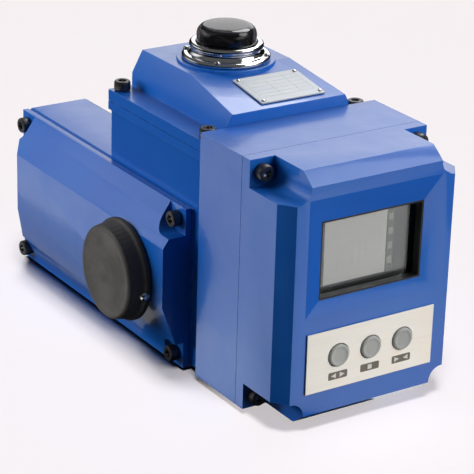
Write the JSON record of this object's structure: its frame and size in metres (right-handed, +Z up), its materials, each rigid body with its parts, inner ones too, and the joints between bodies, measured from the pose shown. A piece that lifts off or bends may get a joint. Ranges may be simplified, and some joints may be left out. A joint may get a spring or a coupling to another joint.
{
  "type": "motorized valve actuator",
  "caption": "Part-turn electric valve actuator with a worm drive, gear cover with hand drive plug, dial indicator, and display box with keypad.",
  "frame": {"origin": "output shaft axis at the valve mounting face", "axes": "+Z up the output shaft to the indicator, +X towards the display, -Y towards the hand drive plug"},
  "size_m": [0.2698, 0.1529, 0.1646],
  "materials": {
    "blue_casting": "glossy blue enamel on die-cast aluminium",
    "seal": "black nitrile sheet",
    "chrome_ring": "bright chrome plate",
    "tinted_window": "smoked polycarbonate",
    "clear_window": "clear polycarbonate",
    "dial": "black dial with a pale pointer",
    "silver_plate": "satin anodised plate",
    "black_rubber": "matt black moulded rubber",
    "lcd": "grey liquid crystal panel in a black frame",
    "circuit_board": "green solder resist",
    "grey_key": "satin grey key caps",
    "black_plastic": "black polyamide",
    "steel": "machined steel",
    "bronze": "cast bronze",
    "nylon": "natural nylon",
    "black_screw": "black oxide"
  },
  "bodies": {
    "housing": {"main_housing": "blue_casting", "top_cover": "blue_casting", "side_cover": "blue_casting", "control_housing": "blue_casting", "control_lid": "blue_casting", "top_cover_gasket": "seal", "side_cover_gasket": "seal", "control_lid_gasket": "seal", "indicator_bezel": "chrome_ring", "indicator_lens": "tinted_window", "nameplate": "silver_plate", "display_window": "clear_window", "lcd_module": "lcd", "display_board": "circuit_board", "keypad_plate": "silver_plate", "control_board": "circuit_board", "terminal_block": "black_plastic", "gland_body": "black_plastic", "gland_nut": "black_plastic", "blanking_plug": "black_plastic", "motor_body": "steel", "motor_capacitor": "black_plastic", "cluster_axle": "steel", "hand_drive_axle": "steel", "worm_bearing_front": "steel", "worm_bearing_rear": "steel", "output_bushing": "bronze", "switch_bracket": "steel", "limit_switch_1": "black_plastic", "limit_switch_2": "black_plastic", "potentiometer": "black_plastic", "earth_screw": "steel", "top_cover_screw_1": "black_screw", "top_cover_screw_2": "black_screw", "top_cover_screw_3": "black_screw", "top_cover_screw_4": "black_screw", "side_cover_screw_1": "black_screw", "side_cover_screw_2": "black_screw", "side_cover_screw_3": "black_screw", "side_cover_screw_4": "black_screw", "lid_screw_1": "black_screw", "lid_screw_2": "black_screw", "lid_screw_3": "black_screw", "lid_screw_4": "black_screw"},
    "rotor": {"motor_rotor": "steel"},
    "cluster": {"cluster_gear": "steel"},
    "hand_drive": {"hand_drive_gear": "steel"},
    "worm": {"worm_shaft": "steel", "worm_gear": "steel"},
    "output": {"output_shaft": "steel", "worm_wheel": "bronze", "cam_drum": "nylon", "indicator_dial": "dial"},
    "feedback": {"feedback_gear": "nylon"},
    "lever_1": {"switch_lever_1": "steel"},
    "lever_2": {"switch_lever_2": "steel"},
    "key_open": {"key_open": "grey_key"},
    "key_stop": {"key_stop": "grey_key"},
    "key_close": {"key_close": "grey_key"},
    "plug": {"override_plug": "black_rubber"}
  },
  "joints": [
    {"name": "motor_spin", "type": "hinge", "parent": "housing", "child": "rotor", "pos_m": [-0.067, 0, 0.0465], "axis": [0, 1, 0], "range_deg": [0, 72540]},
    {"name": "cluster_spin", "type": "hinge", "parent": "housing", "child": "cluster", "pos_m": [-0.02825, 0, 0.0465], "axis": [0, 1, 0], "range_deg": [-21200, 0]},
    {"name": "hand_drive_spin", "type": "hinge", "parent": "housing", "child": "hand_drive", "pos_m": [0.0105, 0, 0.0465], "axis": [0, 1, 0], "range_deg": [0, 6200]},
    {"name": "worm_spin", "type": "hinge", "parent": "housing", "child": "worm", "pos_m": [0.0295, 0, 0.0465], "axis": [0, 1, 0], "range_deg": [-3600, 0]},
    {"name": "output_turn", "type": "hinge", "parent": "housing", "child": "output", "pos_m": [0, 0, 0], "axis": [0, 0, 1], "range_deg": [0, 90]},
    {"name": "feedback_spin", "type": "hinge", "parent": "housing", "child": "feedback", "pos_m": [0, 0.0224, 0.08], "axis": [0, 0, 1], "range_deg": [-225, 0]},
    {"name": "lever_1_tilt", "type": "hinge", "parent": "housing", "child": "lever_1", "pos_m": [0.01285, -0.009, 0.0892], "axis": [0, 0, -1], "range_deg": [0, 5], "stiffness_Nm_per_rad": 0.02},
    {"name": "lever_2_tilt", "type": "hinge", "parent": "housing", "child": "lever_2", "pos_m": [0.01285, -0.009, 0.0976], "axis": [0, 0, -1], "range_deg": [0, 5], "stiffness_Nm_per_rad": 0.02},
    {"name": "key_open_press", "type": "slide", "parent": "housing", "child": "key_open", "axis": [-1, 0, 0], "range_m": [0, 0.0008], "stiffness_N_per_m": 500},
    {"name": "key_stop_press", "type": "slide", "parent": "housing", "child": "key_stop", "axis": [-1, 0, 0], "range_m": [0, 0.0008], "stiffness_N_per_m": 500},
    {"name": "key_close_press", "type": "slide", "parent": "housing", "child": "key_close", "axis": [-1, 0, 0], "range_m": [0, 0.0008], "stiffness_N_per_m": 500},
    {"name": "plug_pull", "type": "slide", "parent": "housing", "child": "plug", "axis": [0, -1, 0], "range_m": [0, 0.04]}
  ],
  "couplings": [
    {"joint": "cluster_spin", "follows": "motor_spin", "ratio": -0.29167},
    {"joint": "hand_drive_spin", "follows": "motor_spin", "ratio": 0.085069},
    {"joint": "worm_spin", "follows": "motor_spin", "ratio": -0.049624},
    {"joint": "output_turn", "follows": "motor_spin", "ratio": 0.0012406},
    {"joint": "feedback_spin", "follows": "motor_spin", "ratio": -0.0031015}
  ]
}
